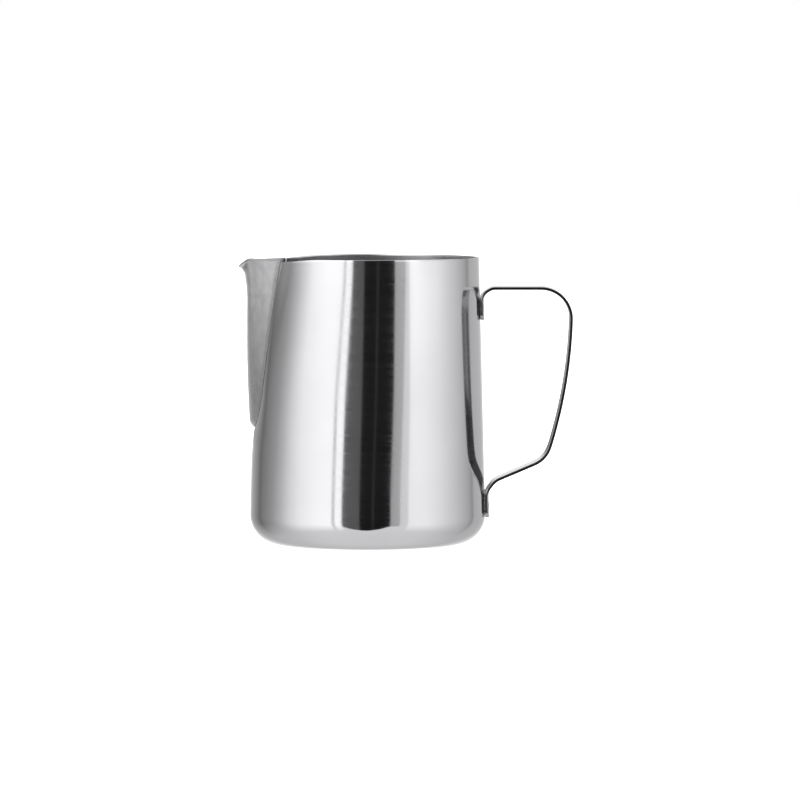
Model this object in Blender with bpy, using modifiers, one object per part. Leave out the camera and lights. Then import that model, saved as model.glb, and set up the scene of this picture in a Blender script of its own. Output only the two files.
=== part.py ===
"""Milk frothing pitcher, 600 ml: a drawn steel cup, a pressed pouring spout welded into a notch in
its wall, and one bent steel strap as the handle, spot-welded to the wall at both ends.

Frame: the origin is the centre of the base's underside, +Z runs up the cup's axis, the spout
points to -X and the handle to +X. "Arc" means distance round the wall, measured from the spout.
"""

import math

import bmesh
import bpy
from mathutils import Matrix, Vector

MM = 0.001
GAP = 0.3 * MM  # left between pieces that the real object joins by welding

# Cup: a slightly tapered drawn wall with a round corner into a flat base
HEIGHT = 108.0 * MM
RIM_RADIUS = 42.1 * MM
BASE_RADIUS = 44.5 * MM
BASE_CORNER = 11.0 * MM
WALL = 0.8 * MM
CUP_SIDES = 72
CORNER_STEPS = 6
WALL_HEIGHTS = [h * MM for h in (104, 99, 93, 86, 78, 70, 62, 54, 47, 40, 31, 21)]

# Notch for the spout: a round bottom with straight sides that open upwards
NOTCH_BOTTOM = 43.1 * MM
NOTCH_ROUND = 16.9 * MM
NOTCH_LEAN = math.radians(13.4)
SEAM_GROOVE = 0.8 * MM  # how far the wall sinks where it meets the weld
SEAM_GROOVE_WIDTH = 8.0 * MM
WELD_RADIUS = 0.4 * MM
WELD_STEPS = 44

# Rim: it comes down a little towards the spout
RIM_DIP_AT_SEAM = 1.0 * MM
RIM_DIP_START = math.radians(66.0)
RIM_DIP_DEPTH = 16.0 * MM

# Spout: keel points (radius from the axis, height), and the lip that curls out at its nose
KEEL = [
    (43.0, 43.4), (43.5, 44.2), (44.15, 45.2), (44.55, 46.5), (45.0, 53.0), (45.35, 62.0),
    (45.6, 72.0), (45.75, 84.0), (45.8, 92.0), (45.95, 97.0), (46.3, 101.0), (46.5, 108.0),
]  # fmt: skip
LIP_REACH = 2.2 * MM
LIP_HEIGHT = 7.0 * MM
LIP_HALF_WIDTH = 9.0 * MM
LIP_SHARPNESS = 3.0
LIP_DIP_AT_NOSE = 3.0 * MM
SPOUT_COLUMNS = 20
SPOUT_ROWS = 26

# Handle: a flat strap whose two ends hug the wall
STRAP_WIDTH = 15.0 * MM
STRAP_THICK = 1.2 * MM
STRAP_END_ROUND = 3.5 * MM
STRAP_COLUMNS = 6
UPPER_TAB_END = 84.4 * MM
LOWER_TAB_END = 9.8 * MM
HANDLE_TOP = 96.3 * MM
HANDLE_REACH = 77.0 * MM
TOP_BEND = 4.7 * MM
SHOULDER_BEND = 11.5 * MM
GRIP_CURVE = 180.0 * MM
ELBOW_BEND = 10.5 * MM
FOOT_BEND = 7.5 * MM
GRIP_TOP_LEAN = math.radians(1.7)
GRIP_LEAN = math.radians(17.2)
FOOT_SLOPE = math.radians(23.0)
BEND_STEPS = 8

# Spot welds: two to each tab
NUGGET_RADIUS = 1.9 * MM
NUGGET_SPREAD = 3.6 * MM  # each side of the strap's middle
NUGGET_DIMPLE = 0.15 * MM
UPPER_WELD_HEIGHT = 88.4 * MM
LOWER_WELD_HEIGHT = 13.8 * MM
NUGGET_SIDES = 24
NUGGETS = [
    ("upper_spot_weld_left", -1, UPPER_WELD_HEIGHT), ("upper_spot_weld_right", 1, UPPER_WELD_HEIGHT),
    ("lower_spot_weld_left", -1, LOWER_WELD_HEIGHT), ("lower_spot_weld_right", 1, LOWER_WELD_HEIGHT),
]  # fmt: skip


def smooth(t):
    """0 before t = 0 and 1 after t = 1, with level ends."""
    t = min(1.0, max(0.0, t))
    return t * t * (3.0 - 2.0 * t)


def wall_radius(height):
    """Outer radius of the plain tapered wall."""
    slope = (RIM_RADIUS - BASE_RADIUS) / (HEIGHT - BASE_CORNER)
    return BASE_RADIUS + slope * (height - BASE_CORNER)


def seam_distance(arc, height):
    """Distance from the notch's outline on the unrolled wall, positive outside the notch."""
    up = height - (NOTCH_BOTTOM + NOTCH_ROUND)
    along = abs(arc) * math.sin(NOTCH_LEAN) + up * math.cos(NOTCH_LEAN)
    if along < 0.0:
        return math.hypot(arc, up) - NOTCH_ROUND
    return abs(arc) * math.cos(NOTCH_LEAN) - up * math.sin(NOTCH_LEAN) - NOTCH_ROUND


def seam_half_arc(height, offset):
    """Half the notch's width round the wall at a height, for an outline moved out by offset."""
    up = height - (NOTCH_BOTTOM + NOTCH_ROUND)
    reach = NOTCH_ROUND + offset
    tangent_up = -reach * math.sin(NOTCH_LEAN)
    if up < tangent_up:
        return math.sqrt(max(0.0, reach * reach - up * up))
    return reach * math.cos(NOTCH_LEAN) + (up - tangent_up) * math.tan(NOTCH_LEAN)


def groove_depth(distance):
    """How far the wall sinks at a distance from the seam."""
    t = min(1.0, max(0.0, distance / SEAM_GROOVE_WIDTH))
    return SEAM_GROOVE * (1.0 - t) ** 2


def rim_dip(turn, height):
    """How far the rim is drawn down at an angle from the spout; it fades out below the rim."""
    seam_turn = seam_half_arc(HEIGHT, 0.0) / RIM_RADIUS
    across = smooth((RIM_DIP_START - abs(turn)) / (RIM_DIP_START - seam_turn))
    return RIM_DIP_AT_SEAM * across * smooth((height - HEIGHT + RIM_DIP_DEPTH) / RIM_DIP_DEPTH)


def spline_at(points, at):
    """Value at `at` of the smooth curve through (value, position) points in rising order."""
    last = len(points) - 1
    i = max(0, min(last - 1, sum(p[1] <= at for p in points) - 1))
    before, after = points[max(0, i - 1)], points[min(last, i + 2)]
    (v0, p0), (v1, p1) = points[i], points[i + 1]
    span = p1 - p0
    slope0 = (v1 - before[0]) / (p1 - before[1]) * span
    slope1 = (after[0] - v0) / (after[1] - p0) * span
    t = min(1.0, max(0.0, (at - p0) / span))
    bend0 = (2 * t**3 - 3 * t**2 + 1) * v0 + (t**3 - 2 * t**2 + t) * slope0
    return bend0 + (3 * t**2 - 2 * t**3) * v1 + (t**3 - t**2) * slope1


def clear_scene():
    """Remove every object of the open scene."""
    for obj in list(bpy.data.objects):
        bpy.data.objects.remove(obj, do_unlink=True)


def make_collection(name):
    """A new collection in the scene."""
    collection = bpy.data.collections.new(name)
    bpy.context.scene.collection.children.link(collection)
    return collection


def make_steel(name, colour, roughness):
    """A plain stainless steel material."""
    material = bpy.data.materials.new(name)
    material.use_nodes = True
    shader = material.node_tree.nodes["Principled BSDF"]
    shader.inputs["Base Color"].default_value = (*colour, 1.0)
    shader.inputs["Metallic"].default_value = 1.0
    shader.inputs["Roughness"].default_value = roughness
    return material


def add_object(name, data, collection, material=None):
    """A new object in a collection, with its material."""
    obj = bpy.data.objects.new(name, data)
    collection.objects.link(obj)
    if material is not None:
        data.materials.append(material)
    return obj


def add_solidify(obj, thickness, offset):
    """Give an open surface its sheet thickness."""
    modifier = obj.modifiers.new("sheet", "SOLIDIFY")
    modifier.thickness = thickness
    modifier.offset = offset
    modifier.use_even_offset = True


def add_cut(obj, cutter):
    """Cut a closed cutter away from a solid."""
    modifier = obj.modifiers.new("cut_" + cutter.name, "BOOLEAN")
    modifier.operation = "DIFFERENCE"
    modifier.solver = "EXACT"
    modifier.object = cutter


def mark_cutter(obj):
    """Keep a helper out of the render and draw it as wire."""
    obj.hide_render = True
    obj.display_type = "WIRE"


def as_mesh(obj):
    """Turn a curve, or an object with modifiers, into a plain mesh object in its place."""
    graph = bpy.context.evaluated_depsgraph_get()
    mesh = bpy.data.meshes.new_from_object(obj.evaluated_get(graph))
    work = bmesh.new()
    work.from_mesh(mesh)
    bmesh.ops.remove_doubles(work, verts=work.verts, dist=1e-6)
    work.to_mesh(mesh)
    work.free()
    made = bpy.data.objects.new(obj.name + "_mesh", mesh)
    obj.users_collection[0].objects.link(made)
    made.matrix_world = obj.matrix_world
    name = obj.name
    bpy.data.objects.remove(obj)
    made.name = name
    return made


def shade_round(mesh):
    """Smooth shading that keeps edges sharper than 40 degrees."""
    mesh.shade_smooth()
    mesh.set_sharp_from_angle(angle=math.radians(40.0))


def make_grid(name, columns, rows, place):
    """A grid of quads whose corners are put by place(u, v), with u from -1 to 1 and v from 0 to 1."""
    work = bmesh.new()
    bmesh.ops.create_grid(work, x_segments=columns, y_segments=rows, size=1.0)
    for vertex in work.verts:
        vertex.co = place(vertex.co.x, (vertex.co.y + 1.0) / 2.0)
    mesh = bpy.data.meshes.new(name)
    work.to_mesh(mesh)
    work.free()
    return mesh


def cup_profile():
    """The cup's outer profile as (radius, height), from the rim down to the centre of the base."""
    points = [(RIM_RADIUS, HEIGHT)]
    points += [(wall_radius(height), height) for height in WALL_HEIGHTS]
    centre = BASE_RADIUS - BASE_CORNER
    for step in range(CORNER_STEPS + 1):
        turn = math.pi / 2 * step / CORNER_STEPS
        low = BASE_CORNER - BASE_CORNER * math.sin(turn)
        points.append((centre + BASE_CORNER * math.cos(turn), low))
    return points + [(centre / 2, 0.0), (0.0, 0.0)]


def sink_cup_wall(mesh):
    """Press the groove beside the seam into the wall and bring the rim down towards the spout."""
    for vertex in mesh.vertices:
        x, y, z = vertex.co
        if z < BASE_CORNER:
            continue
        turn = math.atan2(y, -x)
        sunk = wall_radius(z) - groove_depth(seam_distance(turn * wall_radius(z), z))
        low = z - rim_dip(turn, z)
        vertex.co = (-sunk * math.cos(turn), sunk * math.sin(turn), low)


def build_notch_cutter(collection):
    """A block with the notch's outline that passes through the wall on the spout's side."""
    side = []
    offset = WELD_RADIUS + GAP
    lowest, top = NOTCH_BOTTOM - offset, HEIGHT + 10 * MM
    steps = 24
    for step in range(steps + 1):
        height = lowest + (top - lowest) * (step / steps) ** 2
        radius = wall_radius(height)
        side.append((radius * math.sin(seam_half_arc(height, offset) / radius), height))
    outline = side + [(-half, height) for half, height in reversed(side[1:])]
    curve = bpy.data.curves.new("notch_cutter", "CURVE")
    curve.dimensions = "2D"
    curve.fill_mode = "BOTH"
    curve.extrude = 12 * MM
    spline = curve.splines.new("POLY")
    spline.points.add(len(outline) - 1)
    for point, (half, height) in zip(spline.points, outline):
        point.co = (half, height, 0.0, 1.0)
    spline.use_cyclic_u = True
    cutter = add_object("notch_cutter", curve, collection)
    # The outline's own x and y become the cup's y and z, and it sits across the wall at -X.
    cutter.matrix_world = Matrix(((0, 0, 1, -40 * MM), (1, 0, 0, 0), (0, 1, 0, 0), (0, 0, 0, 1)))
    cutter = as_mesh(cutter)
    mark_cutter(cutter)
    return cutter


def build_cup(collection, helpers, steel):
    """The drawn cup, with the notch that the spout closes."""
    profile = bpy.data.meshes.new("body_shell")
    points = cup_profile()
    edges = [(i, i + 1) for i in range(len(points) - 1)]
    profile.from_pydata([(radius, 0.0, height) for radius, height in points], edges, [])
    turned = add_object("body_shell", profile, collection)
    screw = turned.modifiers.new("turn", "SCREW")
    screw.axis = "Z"
    screw.angle = math.tau
    screw.steps = screw.render_steps = CUP_SIDES
    screw.use_merge_vertices = True
    screw.merge_threshold = 1e-5
    screw.use_normal_calculate = False
    bpy.context.view_layer.update()
    cup = as_mesh(turned)
    sink_cup_wall(cup.data)
    cup.data.materials.append(steel)
    shade_round(cup.data)
    add_solidify(cup, WALL, -1.0)
    add_cut(cup, build_notch_cutter(helpers))
    return cup


def spout_point(u, v):
    """A point of the spout's outer face: u across it from seam to seam, v up it from bottom to lip."""
    offset = -(WELD_RADIUS + GAP)
    lowest = NOTCH_BOTTOM - offset + 0.15 * MM
    height = lowest + (HEIGHT - lowest) * v**1.35
    fade = smooth((height - HEIGHT + RIM_DIP_DEPTH) / RIM_DIP_DEPTH)
    seam_height = height - RIM_DIP_AT_SEAM * fade
    radius = wall_radius(height) - SEAM_GROOVE
    turn = seam_half_arc(seam_height, offset) / wall_radius(seam_height)
    half = radius * math.sin(turn)
    edge = radius * math.cos(turn)
    keel = max(spline_at(KEEL, height / MM) * MM, edge + 0.02 * MM)
    # The section is the arc of a circle through both seams and the keel.
    rise = keel - edge
    bow = (half * half + rise * rise) / (2.0 * rise)
    swing = math.asin(min(1.0, half / bow)) * u
    out = keel - bow * (1.0 - math.cos(swing))
    side = bow * math.sin(swing)
    near_nose = math.exp(-((side / LIP_HALF_WIDTH) ** 2))
    curl = max(0.0, 1.0 - (HEIGHT - height) / LIP_HEIGHT)
    out += LIP_REACH * near_nose * curl**LIP_SHARPNESS
    dip = RIM_DIP_AT_SEAM + (LIP_DIP_AT_NOSE - RIM_DIP_AT_SEAM) * near_nose
    return Vector((-out, side, height - dip * fade))


def build_spout(collection, steel):
    """The pressed spout, a shallow trough that ends in a lip."""
    mesh = make_grid("spout", SPOUT_COLUMNS, SPOUT_ROWS, spout_point)
    mesh.flip_normals()
    spout = add_object("spout", mesh, collection, steel)
    shade_round(mesh)
    add_solidify(spout, WALL, -1.0)
    return spout


def seam_route():
    """Points along the middle of the seam, from one end at the rim down round to the other."""
    side = []
    top = HEIGHT - RIM_DIP_AT_SEAM - WELD_RADIUS
    bottom_turns = WELD_STEPS // 3
    centre = NOTCH_BOTTOM + NOTCH_ROUND
    for step in range(bottom_turns + 1):
        turn = (math.pi / 2 - NOTCH_LEAN) * step / bottom_turns
        side.append((NOTCH_ROUND * math.sin(turn), centre - NOTCH_ROUND * math.cos(turn)))
    straight_steps = WELD_STEPS // 6
    start_arc, start_height = side[-1]
    for step in range(1, straight_steps + 1):
        height = start_height + (top - start_height) * step / straight_steps
        side.append((start_arc + (height - start_height) * math.tan(NOTCH_LEAN), height))
    unrolled = [(-arc, height) for arc, height in reversed(side)] + side[1:]
    route = []
    for arc, height in unrolled:
        turn = arc / wall_radius(height)
        middle = wall_radius(height) - SEAM_GROOVE - WALL / 2
        route.append(Vector((-middle * math.cos(turn), middle * math.sin(turn), height)))
    return route


def build_seam_weld(collection, steel):
    """The weld that runs round the notch and joins the spout to the cup."""
    curve = bpy.data.curves.new("spout_seam_weld", "CURVE")
    curve.dimensions = "3D"
    curve.bevel_depth = WELD_RADIUS
    curve.bevel_resolution = 2
    curve.use_fill_caps = True
    route = seam_route()
    spline = curve.splines.new("POLY")
    spline.points.add(len(route) - 1)
    for point, place in zip(spline.points, route):
        point.co = (*place, 1.0)
    return add_object("spout_seam_weld", curve, collection, steel)


def heading(angle):
    """Unit (x, z) direction at an angle above +X in the handle's plane."""
    return Vector((math.cos(angle), math.sin(angle)))


def strap_path():
    """Middle line of the strap as (point, direction, arc length), from the upper tab to the lower.

    Each stretch is a straight run or an arc, so a stretch is (length, turn): a turn of zero is
    straight, and a negative turn bends clockwise seen from the spout's left.
    """
    taper = math.atan((BASE_RADIUS - RIM_RADIUS) / (HEIGHT - BASE_CORNER))
    stand_off = GAP + STRAP_THICK / 2
    start = Vector((wall_radius(UPPER_TAB_END) + stand_off, UPPER_TAB_END))
    up = math.pi / 2 + taper
    top_turn = -up
    shoulder_turn = -(math.pi / 2 + GRIP_TOP_LEAN)
    grip_turn = -(GRIP_LEAN - GRIP_TOP_LEAN)
    elbow_turn = -(math.pi / 2 - GRIP_LEAN - FOOT_SLOPE)
    foot_turn = math.pi / 2 - FOOT_SLOPE + taper
    top_run = HANDLE_REACH - start.x - TOP_BEND - SHOULDER_BEND
    tab_run = HANDLE_TOP - UPPER_TAB_END - TOP_BEND
    grip_run = GRIP_CURVE * abs(grip_turn)
    lower_run = LOWER_TAB_END
    # The straight run above the foot is as long as it takes to reach the lower tab's line.
    runs = [
        (tab_run, 0.0), (TOP_BEND * abs(top_turn), top_turn), (top_run, 0.0),
        (SHOULDER_BEND * abs(shoulder_turn), shoulder_turn), (grip_run, grip_turn),
        (ELBOW_BEND * abs(elbow_turn), elbow_turn),
    ]  # fmt: skip
    points = follow(start, up, runs)
    elbow_end, elbow_heading = points[-1][0], points[-1][1]
    angle = math.atan2(elbow_heading.y, elbow_heading.x)
    bend = follow(Vector((0, 0)), angle, [(FOOT_BEND * foot_turn, foot_turn)])[-1][0]
    tab_x = wall_radius(LOWER_TAB_END + 7 * MM) + stand_off
    slope_run = (tab_x - elbow_end.x - bend.x) / math.cos(angle)
    runs += [(slope_run, 0.0), (FOOT_BEND * foot_turn, foot_turn)]
    foot_end = follow(start, up, runs)[-1][0]
    runs.append(((foot_end.y - lower_run) / math.cos(taper), 0.0))
    return follow(start, up, runs)


def follow(start, angle, runs):
    """Walk from start along straight runs and arcs; returns (point, direction, distance) steps."""
    place, distance = start.copy(), 0.0
    points = [(place.copy(), heading(angle), 0.0)]
    for length, turn in runs:
        steps = BEND_STEPS if turn else max(2, round(length / (4 * MM)))
        for _ in range(steps):
            chord = length / steps
            half = turn / steps / 2
            if turn:
                chord *= math.sin(abs(half)) / abs(half)
            place += heading(angle + half) * chord
            angle += turn / steps
            distance += length / steps
            points.append((place.copy(), heading(angle), distance))
    return points


def strap_half_width(distance, total):
    """Half the strap's width, less the round corners at its two ends."""
    from_end = min(distance, total - distance)
    if from_end >= STRAP_END_ROUND:
        return STRAP_WIDTH / 2
    short = STRAP_END_ROUND - from_end
    return STRAP_WIDTH / 2 - STRAP_END_ROUND + math.sqrt(STRAP_END_ROUND**2 - short**2)


def build_strap(collection, helpers, steel):
    """The bent handle strap, curved across its width where it lies on the wall."""
    path = strap_path()
    total = path[-1][2]
    upper_flat = HANDLE_TOP - UPPER_TAB_END - TOP_BEND
    lower_flat = 8.0 * MM
    fade = 9.0 * MM

    def place(u, v):
        point, along, distance = path[round(v * (len(path) - 1))]
        side = u * strap_half_width(distance, total)
        left = Vector((-along.y, along.x))
        sag = BASE_RADIUS - math.sqrt(BASE_RADIUS**2 - side**2)
        upper = 1.0 - smooth((distance - upper_flat) / fade)
        lower = 1.0 - smooth((total - distance - lower_flat) / fade)
        bowed = point + left * sag * (upper - lower)
        return Vector((bowed.x, side, bowed.y))

    mesh = make_grid("handle_strap", STRAP_COLUMNS, len(path) - 1, place)
    mesh.flip_normals()
    strap = add_object("handle_strap", mesh, collection, steel)
    shade_round(mesh)
    add_solidify(strap, STRAP_THICK, 0.0)
    for name, side, height in NUGGETS:
        hole = NUGGET_RADIUS + GAP
        cutter = build_disc(name + "_cutter", side, height, hole, 4 * MM, -1 * MM, helpers)
        mark_cutter(cutter)
        add_cut(strap, cutter)
    return strap


def build_disc(name, side, height, radius, thickness, inner_gap, collection, steel=None):
    """A disc beside the strap's middle whose axis points out from the cup's, like a radius."""
    start = wall_radius(height) + inner_gap
    turn = side * math.asin(NUGGET_SPREAD / start)
    work = bmesh.new()
    bmesh.ops.create_cone(
        work, cap_ends=True, segments=NUGGET_SIDES, radius1=radius, radius2=radius, depth=thickness
    )
    mesh = bpy.data.meshes.new(name)
    work.to_mesh(mesh)
    work.free()
    disc = add_object(name, mesh, collection, steel)
    middle = start + thickness / 2
    disc.location = (middle * math.cos(turn), middle * math.sin(turn), height)
    disc.rotation_euler = (0.0, math.pi / 2, turn)
    return disc


def build_spot_welds(collection, steel):
    """The four spot welds that hold the strap on."""
    clear = GAP + 0.05 * MM
    thickness = STRAP_THICK - NUGGET_DIMPLE - 0.05 * MM
    for name, side, height in NUGGETS:
        weld = build_disc(name, side, height, NUGGET_RADIUS, thickness, clear, collection, steel)
        shade_round(weld.data)


def main():
    """Build the pitcher."""
    clear_scene()
    pitcher = make_collection("milk_frothing_pitcher")
    helpers = make_collection("cutters")
    polished = make_steel("polished_steel", (0.74, 0.74, 0.75), 0.12)
    satin = make_steel("satin_steel", (0.66, 0.66, 0.67), 0.32)
    strip = make_steel("strip_steel", (0.70, 0.70, 0.71), 0.18)
    weld = make_steel("weld_steel", (0.52, 0.52, 0.53), 0.40)
    build_cup(pitcher, helpers, polished)
    build_spout(pitcher, satin)
    build_seam_weld(pitcher, weld)
    build_strap(pitcher, helpers, strip)
    build_spot_welds(pitcher, weld)


main()
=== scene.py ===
"""Looks of a 600 ml stainless steel milk frothing pitcher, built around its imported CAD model.

The CAD's frame holds: the origin is the centre of the base's underside, +Z runs up the cup's axis,
the spout points to -X and the handle to +X. All lengths are in metres. "Turn" is an angle round the
cup from the spout, positive towards +Y, and "arc" is the distance round the wall that it makes.
"""

from __future__ import annotations

import logging
import math

from collections.abc import Callable, Sequence
from dataclasses import dataclass, field
from enum import Enum
from typing import Any

import bmesh
import bpy
from mathutils import Matrix, Vector

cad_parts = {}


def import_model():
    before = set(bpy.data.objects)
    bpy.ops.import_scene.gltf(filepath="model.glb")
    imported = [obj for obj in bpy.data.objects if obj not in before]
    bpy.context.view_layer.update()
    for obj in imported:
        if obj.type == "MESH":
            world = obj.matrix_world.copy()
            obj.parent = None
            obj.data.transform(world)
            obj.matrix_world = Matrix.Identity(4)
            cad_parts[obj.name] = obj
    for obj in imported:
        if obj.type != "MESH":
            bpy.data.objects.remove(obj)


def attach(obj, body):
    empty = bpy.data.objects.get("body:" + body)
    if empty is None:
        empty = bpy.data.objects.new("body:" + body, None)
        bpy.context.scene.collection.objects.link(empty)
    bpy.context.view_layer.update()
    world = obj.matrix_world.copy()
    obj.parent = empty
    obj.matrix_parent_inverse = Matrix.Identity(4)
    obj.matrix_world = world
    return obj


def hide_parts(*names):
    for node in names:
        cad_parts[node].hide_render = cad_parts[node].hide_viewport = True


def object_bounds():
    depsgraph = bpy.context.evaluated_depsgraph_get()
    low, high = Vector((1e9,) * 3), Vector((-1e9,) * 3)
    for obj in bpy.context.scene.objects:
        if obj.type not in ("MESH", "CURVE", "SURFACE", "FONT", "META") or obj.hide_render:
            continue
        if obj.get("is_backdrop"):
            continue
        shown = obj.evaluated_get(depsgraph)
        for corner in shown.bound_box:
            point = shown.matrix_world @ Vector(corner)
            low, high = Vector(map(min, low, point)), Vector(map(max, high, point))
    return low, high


MM = 0.001
WELD_DISTANCE = 0.002 * MM  # points of one piece that are closer than this are one point
SLIVER = WELD_DISTANCE / 20  # edges shorter than this are dissolved
SHARP = math.radians(50)  # edges that are sharper than this are rounded, and not shaded smooth
LOG = logging.getLogger("pitcher")

Grid = list[list[Vector]]
Tree = bpy.types.NodeTree
Socket = bpy.types.NodeSocket
Value = float | Socket


class Hand(Enum):
    """The two halves of the pitcher, split by the plane through its spout and its handle."""

    LEFT = -1
    RIGHT = 1


class Slot(Enum):
    """The record's material slots."""

    POLISHED = "polished_steel"
    SATIN = "satin_steel"
    STRIP = "strip_steel"
    WELD = "weld_steel"


# ---------------------------------------------------------------------------
# Small tools


def linear(hex_colour: str) -> tuple[float, float, float, float]:
    """Turn an sRGB hex colour into linear light.

    Args:
        hex_colour: six hex digits after a "#".

    Returns:
        Linear red, green, blue and an alpha of 1.
    """
    parts = [int(hex_colour[i : i + 2], 16) / 255 for i in (1, 3, 5)]
    red, green, blue = (c / 12.92 if c <= 0.04045 else ((c + 0.055) / 1.055) ** 2.4 for c in parts)
    return red, green, blue, 1.0


def smooth(t: float) -> float:
    """Rise from 0 at t = 0 to 1 at t = 1, level at both ends."""
    t = min(1.0, max(0.0, t))
    return t * t * (3.0 - 2.0 * t)


def mix(a: float, b: float, t: float) -> float:
    """The value a share t of the way from a to b."""
    return a + (b - a) * t


def steps(count: int) -> list[float]:
    """Numbers from 0 to 1 in count equal steps."""
    return [i / count for i in range(count + 1)]


def add_node(tree: Tree, kind: str, inputs: dict[Any, Any] | None = None, **settings: Any) -> bpy.types.Node:
    """Add a node with its settings, its values and its links.

    Args:
        tree: the node tree that gets the node.
        kind: the node's Blender type.
        inputs: input name or index to a value, or to the output socket that feeds it.
        settings: properties of the node itself.

    Returns:
        The new node.
    """
    node = tree.nodes.new(kind)
    for name, value in settings.items():
        setattr(node, name, value)
    for name, value in (inputs or {}).items():
        if isinstance(value, Socket):
            tree.links.new(value, node.inputs[name])
        else:
            node.inputs[name].default_value = value
    return node


def new_tree(name: str) -> tuple[bpy.types.Material, Tree]:
    """Make a material whose node tree is empty.

    Args:
        name: the material's name.

    Returns:
        The material and its node tree.
    """
    material = bpy.data.materials.new(name)
    material.use_nodes = True
    material.node_tree.nodes.clear()
    return material, material.node_tree


def noise(tree: Tree, place: Socket, scale: float, detail: float, roughness: float = 0.5) -> Socket:
    """Noise of a scale, per metre of the position that is linked to it."""
    inputs = {"Vector": place, "Scale": scale, "Detail": detail, "Roughness": roughness}
    return add_node(tree, "ShaderNodeTexNoise", inputs).outputs["Fac"]


def ramp(
    tree: Tree, value: Socket, start: float, end: float, low: Value = 0.0, high: Value = 1.0, **settings: Any
) -> Socket:
    """Turn the range start to end into the range low to high, and hold the ends."""
    inputs = {"Value": value, "From Min": start, "From Max": end, "To Min": low, "To Max": high}
    return add_node(tree, "ShaderNodeMapRange", inputs, **settings).outputs["Result"]


def calc(tree: Tree, operation: str, *values: Value, **settings: Any) -> Socket:
    """The result of one of Blender's Math operations."""
    node = add_node(tree, "ShaderNodeMath", dict(enumerate(values)), operation=operation, **settings)
    return node.outputs["Value"]


def dot(tree: Tree, a: Any, b: Any) -> Socket:
    """The dot product of two vectors."""
    return add_node(tree, "ShaderNodeVectorMath", {0: a, 1: b}, operation="DOT_PRODUCT").outputs["Value"]


def blend(tree: Tree, share: Socket, low: Value, high: Value) -> Socket:
    """The number a share of the way from low to high."""
    return add_node(tree, "ShaderNodeMix", {0: share, 2: low, 3: high}).outputs[0]


def blend_colour(tree: Tree, share: Socket, low: str | Socket, high: str | Socket) -> Socket:
    """The colour a share of the way from low to high, which are sockets or sRGB hex."""
    low, high = (linear(colour) if isinstance(colour, str) else colour for colour in (low, high))
    return add_node(tree, "ShaderNodeMix", {0: share, 6: low, 7: high}, data_type="RGBA").outputs[2]


def bumps(
    tree: Tree, height: Socket, strength: float, distance: float, under: Socket | None = None
) -> Socket:
    """Bend a surface's normal so that it seems to rise and fall.

    Args:
        tree: the node tree.
        height: the height, from 0 to 1.
        strength: share of the effect that is used.
        distance: the real distance that a height of 1 stands for.
        under: the normal of coarser bumps, if there are any.

    Returns:
        The bent normal.
    """
    inputs: dict[Any, Any] = {"Height": height, "Strength": strength, "Distance": distance}
    if under is not None:
        inputs["Normal"] = under
    return add_node(tree, "ShaderNodeBump", inputs).outputs["Normal"]


def show(tree: Tree, shader: str, inputs: dict[Any, Any]) -> None:
    """Add a shader, and the output that shows it."""
    node = add_node(tree, shader, inputs)
    add_node(tree, "ShaderNodeOutputMaterial", {"Surface": node.outputs[0]})


def add_metal(
    tree: Tree, colour: Any, roughness: Socket, normal: Socket, more: dict[Any, Any] | None = None
) -> None:
    """Add the shader of bare metal, whose index of refraction stays Blender's own."""
    inputs = {"Base Color": colour, "Metallic": 1.0, "Roughness": roughness, "Normal": normal}
    show(tree, "ShaderNodeBsdfPrincipled", inputs | (more or {}))


def add_patch(work: bmesh.types.BMesh, grid: Grid) -> None:
    """Add a grid of points to a mesh as quads.

    Args:
        work: the mesh that gets the quads.
        grid: rows of points, all rows of one length.
    """
    verts = [[work.verts.new(point) for point in row] for row in grid]
    for low, high in zip(verts, verts[1:]):
        for i in range(len(low) - 1):
            work.faces.new((low[i], low[i + 1], high[i + 1], high[i]))


def make_piece(
    name: str, work: bmesh.types.BMesh, outward: Callable[[Vector], Vector] | None = None
) -> bpy.types.Object:
    """Weld a mesh's patches into one smooth object.

    Args:
        name: the object's name.
        work: the mesh, which is freed.
        outward: the direction in which the surface should face at a point. A closed surface
            faces outwards without it.

    Returns:
        The new object, in the scene.
    """
    bmesh.ops.remove_doubles(work, verts=work.verts, dist=WELD_DISTANCE)
    bmesh.ops.dissolve_degenerate(work, edges=work.edges, dist=SLIVER)
    bmesh.ops.recalc_face_normals(work, faces=work.faces)
    work.normal_update()
    if outward is not None:
        facing = sum(f.normal.dot(outward(f.calc_center_median())) * f.calc_area() for f in work.faces)
        if facing < 0:
            bmesh.ops.reverse_faces(work, faces=work.faces)
    mesh = bpy.data.meshes.new(name)
    work.to_mesh(mesh)
    work.free()
    mesh.shade_smooth()
    piece = bpy.data.objects.new(name, mesh)
    bpy.context.scene.collection.objects.link(piece)
    return piece


def give_sheet(piece: bpy.types.Object, thickness: float, offset: float, edge: float) -> None:
    """Turn an open surface into sheet metal with rounded edges, and keep the result as its mesh.

    Args:
        piece: the object with the open surface.
        thickness: the sheet's thickness.
        offset: -1 if the surface is the sheet's outside, and 0 if it is its middle.
        edge: the radius of the sheet's edges.
    """
    solid = piece.modifiers.new("sheet", "SOLIDIFY")
    solid.thickness = thickness
    solid.offset = offset
    solid.use_even_offset = True
    bevel = piece.modifiers.new("edge", "BEVEL")
    bevel.width = edge
    bevel.segments = 3
    bevel.limit_method = "ANGLE"
    bevel.angle_limit = SHARP
    bevel.use_clamp_overlap = True
    bevel.miter_outer = "MITER_ARC"
    graph = bpy.context.evaluated_depsgraph_get()
    mesh = bpy.data.meshes.new_from_object(piece.evaluated_get(graph))
    piece.modifiers.clear()
    old, piece.data = piece.data, mesh
    bpy.data.meshes.remove(old)
    mesh.name = piece.name
    mesh.shade_smooth()
    mesh.set_sharp_from_angle(angle=SHARP)


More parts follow.
